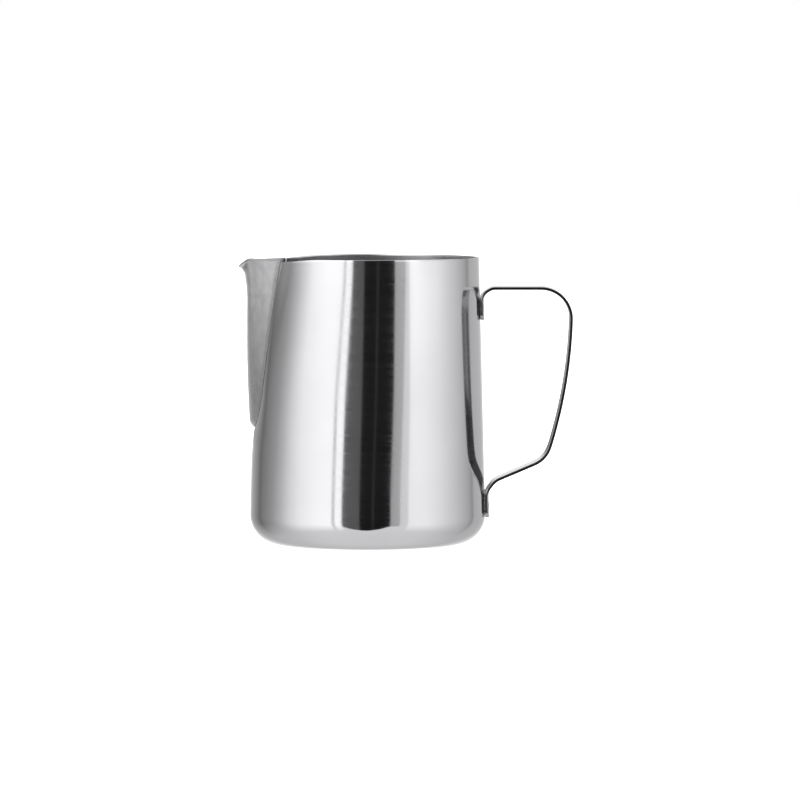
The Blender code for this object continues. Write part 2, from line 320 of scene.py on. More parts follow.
def dress(piece: bpy.types.Object, material: bpy.types.Material, slot: Slot, *nodes: str) -> None:
    """Give a piece its finish and tie it to the CAD model.

    Args:
        piece: the finished mesh object.
        material: its material.
        slot: the record's slot that the finish belongs to; not used.
        nodes: the CAD nodes that the piece stands for.
    """
    piece.data.materials.clear()
    piece.data.materials.append(material)
    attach(piece, "root")
    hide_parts(*nodes)
    LOG.info("%s: %d faces, stands for %s", piece.name, len(piece.data.polygons), ", ".join(nodes))


# ---------------------------------------------------------------------------
# Shape of the wall, which the cup, the spout and the weld share


@dataclass(frozen=True)
class WallShape:
    """The drawn wall, and the seam that the spout's notch makes in it."""

    height: float = 108.0 * MM
    rim_radius: float = 42.1 * MM
    base_radius: float = 44.5 * MM
    corner: float = 11.0 * MM
    sheet: float = 0.8 * MM
    notch_bottom: float = 43.1 * MM
    notch_round: float = 16.9 * MM
    notch_lean: float = math.radians(13.4)
    groove: float = 0.8 * MM
    groove_side: float = 8.0 * MM
    groove_below: float = 14.0 * MM
    dip_at_seam: float = 1.0 * MM
    dip_start: float = math.radians(66.0)
    dip_depth: float = 16.0 * MM

    def radius(self, height: float) -> float:
        """Outer radius of the plain tapered wall."""
        slope = (self.rim_radius - self.base_radius) / (self.height - self.corner)
        return self.base_radius + slope * (height - self.corner)

    @property
    def notch_centre(self) -> float:
        """Height of the centre of the notch's round bottom."""
        return self.notch_bottom + self.notch_round

    def seam_distance(self, arc: float, height: float) -> float:
        """Distance from the seam on the unrolled wall.

        Args:
            arc: distance round the wall from the spout's middle.
            height: height of the point.

        Returns:
            The distance, positive outside the notch.
        """
        up = height - self.notch_centre
        if abs(arc) * math.sin(self.notch_lean) + up * math.cos(self.notch_lean) < 0:
            return math.hypot(arc, up) - self.notch_round
        return abs(arc) * math.cos(self.notch_lean) - up * math.sin(self.notch_lean) - self.notch_round

    def seam_arc(self, height: float, offset: float) -> float:
        """Half the notch's width at a height.

        Args:
            height: the height.
            offset: how far outwards the seam is moved.

        Returns:
            The arc from the spout's middle to the moved seam.
        """
        up = height - self.notch_centre
        reach = self.notch_round + offset
        tangent_up = -reach * math.sin(self.notch_lean)
        if up < tangent_up:
            return math.sqrt(max(0.0, reach * reach - up * up))
        return reach * math.cos(self.notch_lean) + (up - tangent_up) * math.tan(self.notch_lean)

    def groove_depth(self, arc: float, height: float) -> float:
        """How far the wall sinks towards the seam.

        Args:
            arc: distance round the wall from the spout's middle.
            height: height of the point.

        Returns:
            The depth below the plain wall.
        """
        below = min(1.0, max(0.0, (self.notch_centre - height) / self.notch_round))
        width = mix(self.groove_side, self.groove_below, below * below)
        t = min(1.0, max(0.0, self.seam_distance(arc, height) / width))
        return self.groove * (1 - t) ** 2

    def dip(self, turn: float, height: float) -> float:
        """How far the rim is drawn down near the spout.

        Args:
            turn: turn from the spout.
            height: height of the point, before it is drawn down.

        Returns:
            The distance down.
        """
        seam_turn = self.seam_arc(self.height, 0.0) / self.rim_radius
        across = smooth((self.dip_start - abs(turn)) / (self.dip_start - seam_turn))
        return self.dip_at_seam * across * self.dip_fade(height)

    def dip_fade(self, height: float) -> float:
        """How much of the rim's dip is left at a height."""
        return smooth((height - self.height + self.dip_depth) / self.dip_depth)

    def skin(self, turn: float, height: float) -> Vector:
        """A point of the wall's outer face."""
        radius = self.radius(height) - self.groove_depth(turn * self.radius(height), height)
        return Vector((-radius * math.cos(turn), radius * math.sin(turn), height - self.dip(turn, height)))

    def corner_skin(self, turn: float, down: float) -> Vector:
        """A point of the base's round corner.

        Args:
            turn: turn from the spout.
            down: angle from the wall, a quarter turn at the flat base.

        Returns:
            The point.
        """
        radius = self.base_radius - self.corner * (1 - math.cos(down))
        height = self.corner * (1 - math.sin(down))
        return Vector((-radius * math.cos(turn), radius * math.sin(turn), height))


# ---------------------------------------------------------------------------
# Finishes


@dataclass(frozen=True)
class MirrorPolishedSteel:
    """18/8 stainless sheet, deep drawn, then buffed on a lathe.

    To the eye it is a neutral grey mirror: reflections stay sharp, and the buffing wheel leaves fine
    rings round the cup that smear a highlight a little up and down. The inside is only brushed, so
    it is softer.
    """

    name: str = "stainless_mirror_polished"
    colour: str = "#D9D9DB"
    dull_colour: str = "#CFCFD1"
    cloud: float = 22.2 * MM
    roughness: float = 0.05
    ring_roughness: float = 0.07
    inside_roughness: float = 0.23
    inside_from: float = -1 * MM  # outward reach of the surface at which the inside starts
    inside_full: float = -4 * MM
    ring_spacing: float = 0.45 * MM  # real buffing rings are finer, and would not show
    ring_length: float = 60 * MM
    ring_range: tuple[float, float] = (0.35, 0.75)
    ring_strength: float = 0.35
    ring_depth: float = 0.004 * MM
    smear: float = 0.75

    def material(self) -> bpy.types.Material:
        """Build the finish's material.

        Returns:
            The node material.
        """
        material, tree = new_tree(self.name)
        place = add_node(tree, "ShaderNodeTexCoord").outputs
        stretch = (1 / self.ring_length, 1 / self.ring_length, 1 / self.ring_spacing)
        rings = add_node(tree, "ShaderNodeMapping", {"Vector": place["Object"], "Scale": stretch})
        ring = noise(tree, rings.outputs["Vector"], 1.0, 3.0, 0.65)
        cloud = noise(tree, place["Object"], 1 / self.cloud, 2.0)
        rough = ramp(tree, ring, *self.ring_range, self.roughness, self.roughness + self.ring_roughness)
        outwards = dot(tree, place["Object"], place["Normal"])
        inside = ramp(tree, outwards, self.inside_from, self.inside_full)
        along = add_node(tree, "ShaderNodeTangent", direction_type="RADIAL", axis="Z")
        add_metal(
            tree,
            blend_colour(tree, cloud, self.colour, self.dull_colour),
            blend(tree, inside, rough, self.inside_roughness),
            bumps(tree, ring, self.ring_strength, self.ring_depth),
            {"Anisotropic": self.smear, "Tangent": along.outputs["Tangent"]},
        )
        return material


@dataclass(frozen=True)
class SatinSteel:
    """Stainless sheet, pressed in a die and blasted, then buffed only where the wheel could reach.

    To the eye it is a soft, slightly mottled light grey near the rim. Lower down, and along the keel
    and the seam, it is smoother and darker, like the cup.
    """

    wall: WallShape
    name: str = "stainless_satin_pressed"
    colour: str = "#F0F0F1"
    worn_colour: str = "#E2E2E4"
    roughness: float = 0.50
    buffed_roughness: float = 0.28
    buffed_below: float = 58 * MM
    satin_above: float = 96 * MM
    keel_half_width: float = 8 * MM
    buffed_seam: float = 3.5 * MM
    buffed_share: float = 0.15  # what the wheel leaves of the roughness
    mottle_roughness: float = 0.10
    mottle_range: tuple[float, float] = (0.3, 0.7)
    mottle: float = 3.5 * MM
    mottle_depth: float = 0.10 * MM
    mottle_strength: float = 0.4
    grain: float = 0.35 * MM  # blasting grit is finer, and would not show
    grain_depth: float = 0.012 * MM
    grain_strength: float = 0.2

    def buffing(self, tree: Tree, place: Socket) -> Socket:
        """Share of the roughness that the wheel leaves, along the keel and along the seam.

        Args:
            tree: the finish's node tree.
            place: position on the piece.

        Returns:
            The share, 1 where nothing is buffed.
        """
        parts = add_node(tree, "ShaderNodeSeparateXYZ", {"Vector": place}).outputs
        aside = calc(tree, "ABSOLUTE", parts["Y"])
        keel = ramp(tree, aside, self.keel_half_width / 2, self.keel_half_width, self.buffed_share)
        turn = calc(tree, "ARCTAN2", aside, calc(tree, "MULTIPLY", parts["X"], -1.0))
        arc = calc(tree, "MULTIPLY", turn, self.wall.rim_radius)
        lean = math.tan(self.wall.notch_lean)
        seam_start = self.wall.seam_arc(self.wall.height, 0) - lean * self.wall.height
        seam = calc(tree, "MULTIPLY_ADD", parts["Z"], lean, seam_start)
        inwards = calc(tree, "SUBTRACT", seam, arc)
        return calc(tree, "MINIMUM", keel, ramp(tree, inwards, 0.0, self.buffed_seam, self.buffed_share))

    def material(self) -> bpy.types.Material:
        """Build the finish's material.

        Returns:
            The node material.
        """
        material, tree = new_tree(self.name)
        place = add_node(tree, "ShaderNodeTexCoord").outputs["Object"]
        grain = noise(tree, place, 1 / self.grain, 2.0)
        mottle = noise(tree, place, 1 / self.mottle, 4.0, 0.6)
        up = add_node(tree, "ShaderNodeSeparateXYZ", {"Vector": place}).outputs["Z"]
        satin = ramp(tree, up, self.buffed_below, self.satin_above, self.buffed_roughness, self.roughness)
        base = calc(tree, "MULTIPLY", satin, self.buffing(tree, place))
        half = self.mottle_roughness / 2
        change = ramp(tree, mottle, *self.mottle_range, -half, half)
        dents = bumps(tree, mottle, self.mottle_strength, self.mottle_depth)
        add_metal(
            tree,
            blend_colour(tree, mottle, self.worn_colour, self.colour),
            calc(tree, "ADD", base, change, use_clamp=True),
            bumps(tree, grain, self.grain_strength, self.grain_depth, dents),
        )
        return material


@dataclass(frozen=True)
class TumbledStripSteel:
    """Stainless strip, slit, tumbled and bent, as the handle is.

    To the eye it is bright on its faces, with faint lines along its length, and soft on its edges.
    """

    name: str = "stainless_strip_tumbled"
    colour: str = "#AEAEB0"
    roughness: float = 0.08
    wear_roughness: float = 0.08
    wear_range: tuple[float, float] = (0.35, 0.7)
    scuff: float = 2.0 * MM
    line_length: float = 16.7 * MM
    line_width: float = 0.4 * MM
    line_depth: float = 0.01 * MM
    line_strength: float = 0.3

    def material(self) -> bpy.types.Material:
        """Build the finish's material.

        Returns:
            The node material.
        """
        material, tree = new_tree(self.name)
        place = add_node(tree, "ShaderNodeTexCoord").outputs["Object"]
        stretch = (1 / self.line_length, 1 / self.line_width, 1 / self.line_length)
        lines = add_node(tree, "ShaderNodeMapping", {"Vector": place, "Scale": stretch})
        line = noise(tree, lines.outputs["Vector"], 1.0, 3.0)
        scuffs = noise(tree, place, 1 / self.scuff, 3.0)
        rough = ramp(tree, scuffs, *self.wear_range, self.roughness, self.roughness + self.wear_roughness)
        normal = bumps(tree, line, self.line_strength, self.line_depth)
        add_metal(tree, linear(self.colour), rough, normal)
        return material


@dataclass(frozen=True)
class GroundWeldSteel:
    """Weld metal, ground and brushed back, then buffed out of sight above a height.

    To the eye it is a darker, coarser grey than the sheet, with a trace of straw heat tint. Where it
    is buffed it can't be told from the sheet.
    """

    name: str = "stainless_weld_ground"
    colour: str = "#A4A3A2"
    tint_colour: str = "#8B857D"
    buffed_colour: str = "#D6D6D8"
    roughness: float = 0.34
    roughness_change: float = 0.1
    buffed_roughness: float = 0.12
    ground_below: float = 68 * MM
    buffed_above: float = 80 * MM
    ripple: float = 0.6 * MM
    ripple_depth: float = 0.03 * MM
    ripple_strength: float = 0.4

    def material(self) -> bpy.types.Material:
        """Build the finish's material.

        Returns:
            The node material.
        """
        material, tree = new_tree(self.name)
        place = add_node(tree, "ShaderNodeTexCoord").outputs["Object"]
        ripples = noise(tree, place, 1 / self.ripple, 3.0)
        up = add_node(tree, "ShaderNodeSeparateXYZ", {"Vector": place}).outputs["Z"]
        buffed = ramp(tree, up, self.ground_below, self.buffed_above)
        smoothest, roughest = self.roughness - self.roughness_change, self.roughness + self.roughness_change
        ground = ramp(tree, ripples, 0.0, 1.0, smoothest, roughest)
        heat = blend_colour(tree, ripples, self.colour, self.tint_colour)
        add_metal(
            tree,
            blend_colour(tree, buffed, heat, self.buffed_colour),
            blend(tree, buffed, ground, self.buffed_roughness),
            bumps(tree, ripples, self.ripple_strength, self.ripple_depth),
        )
        return material


# ---------------------------------------------------------------------------
# Sub-assemblies


@dataclass
class CupShell:
    """The deep-drawn cup, with the notch that the spout closes."""

    wall: WallShape
    edge_offset: float = 0.45 * MM  # from the seam's middle to the cup's cut edge
    rim_edge: float = 0.3 * MM
    side_columns: int = 170
    notch_columns: int = 26
    upper_rows: int = 84
    lower_rows: int = 44
    corner_rows: int = 22
    base_rows: int = 10
    crowding: float = 1.35  # how much closer the columns stand near the seam
    notch_split: float = math.pi / 4  # swing on the notch's round end where the patches meet

    def outer_half(self, work: bmesh.types.BMesh, hand: Hand) -> None:
        """Add one half of the outer face to a mesh.

        Args:
            work: the mesh.
            hand: which half.
        """
        wall, side = self.wall, hand.value
        reach = wall.notch_round + self.edge_offset
        split = self.notch_split
        split_height = wall.notch_centre - reach * math.cos(split)
        split_turn = reach * math.sin(split) / wall.radius(split_height)
        spread = [u**self.crowding for u in steps(self.side_columns)]

        def beside(height: float) -> list[Vector]:
            start = wall.seam_arc(height, self.edge_offset) / wall.radius(height)
            return [wall.skin(side * mix(start, math.pi, u), height) for u in spread]

        add_patch(work, [beside(mix(split_height, wall.height, v)) for v in steps(self.upper_rows)])
        turns = [mix(split_turn, math.pi, u) for u in spread]
        lower = [mix(wall.corner, split_height, v) for v in steps(self.lower_rows)]
        add_patch(work, [[wall.skin(side * turn, height) for turn in turns] for height in lower])
        below, below_turns = [], []
        for u in steps(self.notch_columns):
            swing = split * u
            top = wall.notch_centre - reach * math.cos(swing)
            turn = reach * math.sin(swing) / wall.radius(top)
            below_turns.append(turn)
            below.append([wall.skin(side * turn, mix(wall.corner, top, v)) for v in steps(self.lower_rows)])
        add_patch(work, below)
        for group in (below_turns, turns):
            rows = [
                [wall.corner_skin(side * turn, math.pi / 2 * v) for turn in group]
                for v in steps(self.corner_rows)
            ]
            flat = wall.base_radius - wall.corner
            rows += [
                [
                    Vector((-flat * v * math.cos(turn), side * flat * v * math.sin(turn), 0.0))
                    for turn in group
                ]
                for v in reversed(steps(self.base_rows)[:-1])
            ]
            add_patch(work, rows)

    def build(self) -> bpy.types.Object:
        """Build the cup.

        Returns:
            The finished mesh object.
        """
        work = bmesh.new()
        for hand in Hand:
            self.outer_half(work, hand)
        middle = Vector((0, 0, self.wall.height / 2))
        cup = make_piece("cup_shell", work, lambda point: point - middle)
        give_sheet(cup, self.wall.sheet, -1.0, self.rim_edge)
        return cup

    def dress(self, cup: bpy.types.Object, finish: MirrorPolishedSteel) -> None:
        """Give the cup its finish."""
        dress(cup, finish.material(), Slot.POLISHED, "body_shell")


@dataclass
class PouringSpout:
    """The pressed spout: a trough with a rounded keel and a lip that curls out at its nose."""

    wall: WallShape
    edge_offset: float = 0.45 * MM
    # The keel's height and its radius from the cup's axis, in millimetres
    keel: Sequence[tuple[float, float]] = (
        (42.9, 42.7), (44.2, 43.45), (45.2, 44.15), (46.5, 44.6), (49.0, 44.8), (53.0, 45.0),
        (62.0, 45.35), (72.0, 45.5), (84.0, 45.5), (92.0, 45.45), (97.0, 45.6), (101.0, 45.95),
        (108.0, 46.4),
    )  # fmt: skip
    nose_round: float = 0.60  # of the spout's half-width
    lip_reach: float = 2.2 * MM
    lip_height: float = 4.6 * MM
    lip_half_width: float = 5.2 * MM
    nose_dip: float = 3.8 * MM
    sheet_edge: float = 0.3 * MM
    columns: int = 96
    rows: int = 120
    lip_rows: float = 0.25  # share of the rows that lie in the lip
    crowding: float = 1.7  # how much closer the other rows stand near the notch's bottom

    def keel_radius(self, height: float) -> float:
        """The keel's radius, on a smooth curve through its points.

        Args:
            height: the height.

        Returns:
            The radius from the cup's axis.
        """
        at = height / MM
        last = len(self.keel) - 1
        i = max(0, min(last - 1, sum(point[0] <= at for point in self.keel) - 1))
        before, after = self.keel[max(0, i - 1)], self.keel[min(last, i + 2)]
        (p0, v0), (p1, v1) = self.keel[i], self.keel[i + 1]
        span = p1 - p0
        slope0 = (v1 - before[1]) / (p1 - before[0]) * span
        slope1 = (after[1] - v0) / (after[0] - p0) * span
        t = min(1.0, max(0.0, (at - p0) / span))
        value = (2 * t**3 - 3 * t**2 + 1) * v0 + (t**3 - 2 * t**2 + t) * slope0
        return (value + (3 * t**2 - 2 * t**3) * v1 + (t**3 - t**2) * slope1) * MM

    def row_height(self, v: float) -> float:
        """Height of a row of the outer face.

        Args:
            v: from 0 at the notch's bottom to 1 at the rim.

        Returns:
            The height, before the rim's dip is taken off.
        """
        low = self.wall.notch_bottom + self.edge_offset + 0.02 * MM
        body = self.wall.height - self.lip_height
        below = 1 - self.lip_rows
        if v < below:
            return mix(low, body, (v / below) ** self.crowding)
        return body + self.lip_height * math.sin(math.pi / 2 * (v - below) / self.lip_rows)

    def point(self, u: float, v: float) -> Vector:
        """A point of the outer face.

        Args:
            u: from -1 to 1 across the spout.
            v: from 0 to 1 up it.

        Returns:
            The point.
        """
        wall = self.wall
        height = self.row_height(v)
        fade = wall.dip_fade(height)
        seam_height = height - wall.dip_at_seam * fade
        turn = wall.seam_arc(seam_height, -self.edge_offset) / wall.radius(seam_height)
        radius = wall.radius(height) - wall.groove
        half, edge = radius * math.sin(turn), radius * math.cos(turn)
        keel = max(self.keel_radius(height), edge + 0.01 * MM)
        side = half * u
        blunt = self.nose_round
        fall = (math.hypot(u, blunt) - blunt) / (math.hypot(1, blunt) - blunt)
        out = keel - (keel - edge) * fall
        near = math.exp(-((side / self.lip_half_width) ** 2))
        curl = max(0.0, 1 - (wall.height - height) / self.lip_height)
        out += self.lip_reach * near * (1 - math.sqrt(max(0.0, 1 - curl * curl)))
        dip = wall.dip_at_seam + (self.nose_dip - wall.dip_at_seam) * near
        return Vector((-out, side, height - dip * fade))

    def build(self) -> bpy.types.Object:
        """Build the spout.

        Returns:
            The finished mesh object.
        """
        work = bmesh.new()
        across = [2 * u - 1 for u in steps(self.columns)]
        add_patch(work, [[self.point(u, v) for u in across] for v in steps(self.rows)])
        spout = make_piece("pouring_spout", work, lambda point: Vector((point.x, point.y, 0)))
        give_sheet(spout, self.wall.sheet, -1.0, self.sheet_edge)
        return spout

    def dress(self, spout: bpy.types.Object, finish: SatinSteel) -> None:
        """Give the spout its finish."""
        dress(spout, finish.material(), Slot.SATIN, "spout")


@dataclass
class SeamWeld:
    """The weld round the notch, ground nearly flush with the sheets on its two sides."""

    wall: WallShape
    half_width: float = 0.85 * MM
    half_depth: float = 0.36 * MM
    cup_side_rise: float = 0.14 * MM  # the cup's edge stands higher than the spout's
    below_rim: float = 0.03 * MM
    end_round: float = 0.3 * MM
    end_steps: int = 5
    sunk: float = 0.3 * MM  # below the sheets, at the notch's bottom
    crease_below: float = 64 * MM
    flush_above: float = 78 * MM
    bottom_steps: int = 60
    side_steps: int = 90
    ring: int = 32

    @property
    def top(self) -> float:
        """Height of the weld's two ends."""
        return self.wall.height - self.wall.dip_at_seam - self.below_rim

    def route(self) -> list[tuple[float, float]]:
        """Points along the seam, from one end at the rim to the other.

        Returns:
            The arc and the height of each point.
        """
        wall = self.wall
        side = []
        for t in steps(self.bottom_steps):
            swing = (math.pi / 2 - wall.notch_lean) * t
            up = wall.notch_centre - wall.notch_round * math.cos(swing)
            side.append((wall.notch_round * math.sin(swing), up))
        start = side[-1][1]
        heights = [mix(start, self.top - self.end_round, t) for t in steps(self.side_steps)[1:]]
        for t in steps(self.end_steps)[1:]:
            heights.append(self.top - self.end_round * (1 - math.sin(math.pi / 2 * t)))
        side += [(wall.seam_arc(height, 0.0), height) for height in heights]
        return [(-arc, height) for arc, height in reversed(side)] + side[1:]

    def build(self) -> bpy.types.Object:
        """Build the weld as a flattened bar that follows the seam.

        Returns:
            The finished mesh object.
        """
        wall = self.wall
        centres, outs, rises, depths = [], [], [], []
        for arc, height in self.route():
            turn = arc / wall.radius(height)
            crease = 1 - smooth((height - self.crease_below) / (self.flush_above - self.crease_below))
            radius = wall.radius(height) - wall.groove - self.half_depth - self.sunk * crease
            outs.append(Vector((-math.cos(turn), math.sin(turn), 0)))
            centres.append(outs[-1] * radius + Vector((0, 0, height)))
            rises.append(self.cup_side_rise * (1 - crease) / 2)
            short = max(0.0, 1 - (self.top - height) / self.end_round)
            depths.append(self.half_depth - self.end_round * (1 - math.sqrt(1 - short * short)))
        rows = []
        for i, (centre, out) in enumerate(zip(centres, outs)):
            along = (centres[min(i + 1, len(centres) - 1)] - centres[max(i - 1, 0)]).normalized()
            if i in (0, len(centres) - 1):
                along = Vector((0, 0, math.copysign(1.0, along.z)))  # cut level, as the rim is
            across = along.cross(out).normalized()
            loop = []
            for t in steps(self.ring):
                angle = math.tau * t
                wide, deep = (math.copysign(abs(v) ** 0.5, v) for v in (math.cos(angle), math.sin(angle)))
                rise = rises[i] * (1 - wide) + depths[i] * deep
                loop.append(centre + across * self.half_width * wide + out * rise)
            rows.append(loop)
        rows.insert(0, [centres[0]] * (self.ring + 1))
        rows.append([centres[-1]] * (self.ring + 1))
        work = bmesh.new()
        add_patch(work, rows)
        return make_piece("spout_seam_bead", work)

    def dress(self, weld: bpy.types.Object, finish: GroundWeldSteel) -> None:
        """Give the weld its finish."""
        dress(weld, finish.material(), Slot.WELD, "spout_seam_weld")


@dataclass
class HandleStrap:
    """The handle: one flat strip, bent to shape, whose two ends hug the wall."""

    wall: WallShape
    width: float = 15.0 * MM
    thickness: float = 1.2 * MM
    stand_off: float = 0.3 * MM
    end_round: float = 2.4 * MM
    upper_end: float = 84.4 * MM
    lower_end: float = 9.8 * MM
    top: float = 96.3 * MM
    reach: float = 76.9 * MM
    top_bend: float = 4.7 * MM
    shoulder_bend: float = 11.5 * MM
    grip_curve: float = 180.0 * MM
    elbow_bend: float = 10.5 * MM
    foot_bend: float = 7.5 * MM
    grip_top_lean: float = math.radians(1.7)
    grip_lean: float = math.radians(17.2)
    foot_slope: float = math.radians(23.0)
    lower_flat: float = 8.0 * MM
    lower_fit: float = 7.0 * MM  # from the lower end to where the strip meets the wall
    flatten: float = 5.0 * MM
    edge: float = 0.18 * MM
    step: float = 0.5 * MM
    columns: int = 22

    @staticmethod
    def heading(angle: float) -> Vector:
        """Unit direction at an angle above +X in the handle's plane, as x and z."""
        return Vector((math.cos(angle), math.sin(angle)))

    def follow(
        self, start: Vector, angle: float, runs: Sequence[tuple[float, float]]
    ) -> list[tuple[Vector, Vector, float]]:
        """Walk along straight runs and arcs.

        Args:
            start: the first point, as x and z.
            angle: the first heading.
            runs: (length, turn) of each run; a turn of 0 is a straight run.

        Returns:
            Points with their headings and their distances from the start.
        """
        place, distance = start.copy(), 0.0
        points = [(place.copy(), self.heading(angle), 0.0)]
        for length, turn in runs:
            count = max(2, math.ceil(length / self.step))
            half = turn / count / 2
            chord = length / count * (math.sin(half) / half if turn else 1.0)
            for _ in range(count):
                place += self.heading(angle + half) * chord
                angle += turn / count
                distance += length / count
                points.append((place.copy(), self.heading(angle), distance))
        return points

    def path(self) -> list[tuple[Vector, Vector, float]]:
        """The strip's middle line, from the upper tab's end to the lower tab's.

        Returns:
            Points with their headings and their distances from the start.
        """
        wall = self.wall
        taper = math.atan((wall.base_radius - wall.rim_radius) / (wall.height - wall.corner))
        off = self.stand_off + self.thickness / 2
        start = Vector((wall.radius(self.upper_end) + off, self.upper_end))
        up = math.pi / 2 + taper
        shoulder = math.pi / 2 + self.grip_top_lean
        grip = self.grip_lean - self.grip_top_lean
        elbow = math.pi / 2 - self.grip_lean - self.foot_slope
        foot = math.pi / 2 - self.foot_slope + taper
        runs = [
            (self.top - self.upper_end - self.top_bend, 0.0),
            (self.top_bend * up, -up),
            (self.reach - start.x - self.top_bend - self.shoulder_bend, 0.0),
            (self.shoulder_bend * shoulder, -shoulder),
            (self.grip_curve * grip, -grip),
            (self.elbow_bend * elbow, -elbow),
        ]
        end, heading, _ = self.follow(start, up, runs)[-1]
        angle = math.atan2(heading.y, heading.x)
        bend = self.follow(Vector((0, 0)), angle, [(self.foot_bend * foot, foot)])[-1][0]
        tab_x = wall.radius(self.lower_end + self.lower_fit) + off
        runs += [((tab_x - end.x - bend.x) / math.cos(angle), 0.0), (self.foot_bend * foot, foot)]
        foot_end = self.follow(start, up, runs)[-1][0]
        runs.append(((foot_end.y - self.lower_end) / math.cos(taper), 0.0))
        return self.follow(start, up, runs)

    def half_width(self, from_end: float) -> float:
        """Half the strip's width, less the round corners of its ends.

        Args:
            from_end: distance from the nearer end.

        Returns:
            Half the width.
        """
        if from_end >= self.end_round:
            return self.width / 2
        short = self.end_round - from_end
        return self.width / 2 - self.end_round + math.sqrt(self.end_round**2 - short**2)

    def build(self) -> bpy.types.Object:
        """Build the strap.

        Returns:
            The finished mesh object.
        """
        path = self.path()
        total = path[-1][2]
        upper_flat = self.top - self.upper_end - self.top_bend
        rows = []
        for point, along, distance in path:
            left = Vector((-along.y, along.x))
            upper = 1 - smooth((distance - upper_flat) / self.flatten)
            lower = 1 - smooth((total - distance - self.lower_flat) / self.flatten)
            row = []
            for u in steps(self.columns):
                side = (2 * u - 1) * self.half_width(min(distance, total - distance))
                sag = self.wall.base_radius - math.sqrt(self.wall.base_radius**2 - side**2)
                bowed = point + left * sag * (upper - lower)
                row.append(Vector((bowed.x, side, bowed.y)))
            rows.append(row)
        work = bmesh.new()
        add_patch(work, rows)
        middle = Vector((60 * MM, 0, 60 * MM))
        strap = make_piece("handle_strip", work, lambda point: point - middle)
        give_sheet(strap, self.thickness, 0.0, self.edge)
        return strap

    def dress(self, strap: bpy.types.Object, finish: TumbledStripSteel) -> None:
        """Give the strap its finish."""
        dress(strap, finish.material(), Slot.STRIP, "handle_strap")


@dataclass
class SpotWelds:
    """The four resistance welds: round marks that the electrodes press into the tabs."""

    wall: WallShape
    strap: HandleStrap
    spread: float = 3.6 * MM
    heights: dict[str, float] = field(default_factory=lambda: {"upper": 88.4 * MM, "lower": 13.8 * MM})
    # Radius and height over the tab's face, in millimetres, from the rim of the mark to its middle
    mark: Sequence[tuple[float, float]] = (
        (1.75, -0.6), (1.85, -0.1), (1.82, 0.0), (1.7, 0.04), (1.5, 0.05), (1.3, 0.03),
        (1.1, -0.03), (0.8, -0.06), (0.5, -0.07), (0.25, -0.075), (0.0, -0.075),
    )  # fmt: skip
    sides: int = 48

    def build(self, level: str, hand: Hand) -> bpy.types.Object:
        """Build one weld mark.

        Args:
            level: the tab, "upper" or "lower".
            hand: the side of the tab.

        Returns:
            The finished mesh object.
        """
        height = self.heights[level]
        face = self.wall.radius(height) + self.strap.stand_off + self.strap.thickness
        turn = hand.value * math.asin(self.spread / face)
        place = Matrix.Rotation(turn, 4, "Z") @ Matrix.Translation((face, 0, height))
        turns = [math.tau * t for t in steps(self.sides)]
        rows = [[place @ Vector((self.mark[0][1] * MM, 0, 0))] * len(turns)]
        for radius, over in self.mark:
            ring = [Vector((over, radius * math.cos(a), radius * math.sin(a))) * MM for a in turns]
            rows.append([place @ point for point in ring])
        work = bmesh.new()
        add_patch(work, rows)
        name = f"{level}_weld_mark_{hand.name.lower()}"
        out = place.to_3x3() @ Vector((1, 0, 0))
        middle = place @ Vector((self.mark[0][1] * MM / 2, 0, 0))
        return make_piece(name, work, lambda point: (point - middle).dot(out) * out)

    def dress(self, mark: bpy.types.Object, finish: bpy.types.Material, node: str) -> None:
        """Give a weld mark its finish."""
        dress(mark, finish, Slot.WELD, node)


# ---------------------------------------------------------------------------
# Studio


@dataclass(frozen=True)
class TentFold:
    """One upright line of the light tent, where its brightness changes.

    The bearings are in degrees from the camera as the pitcher sees them, positive to the camera's
    right. They differ where the fold leans: one each for what the wall mirrors near its top, at its
    middle and near its bottom. A gain is how much brighter the tent is at one height.
    """

    top: float
    middle: float
    low: float
    before: float  # brightness on the side of the smaller bearings
    after: float
    top_gain: float = 1.0
    crown_gain: float = 1.0  # above what the wall mirrors
    middle_gain: float = 1.0


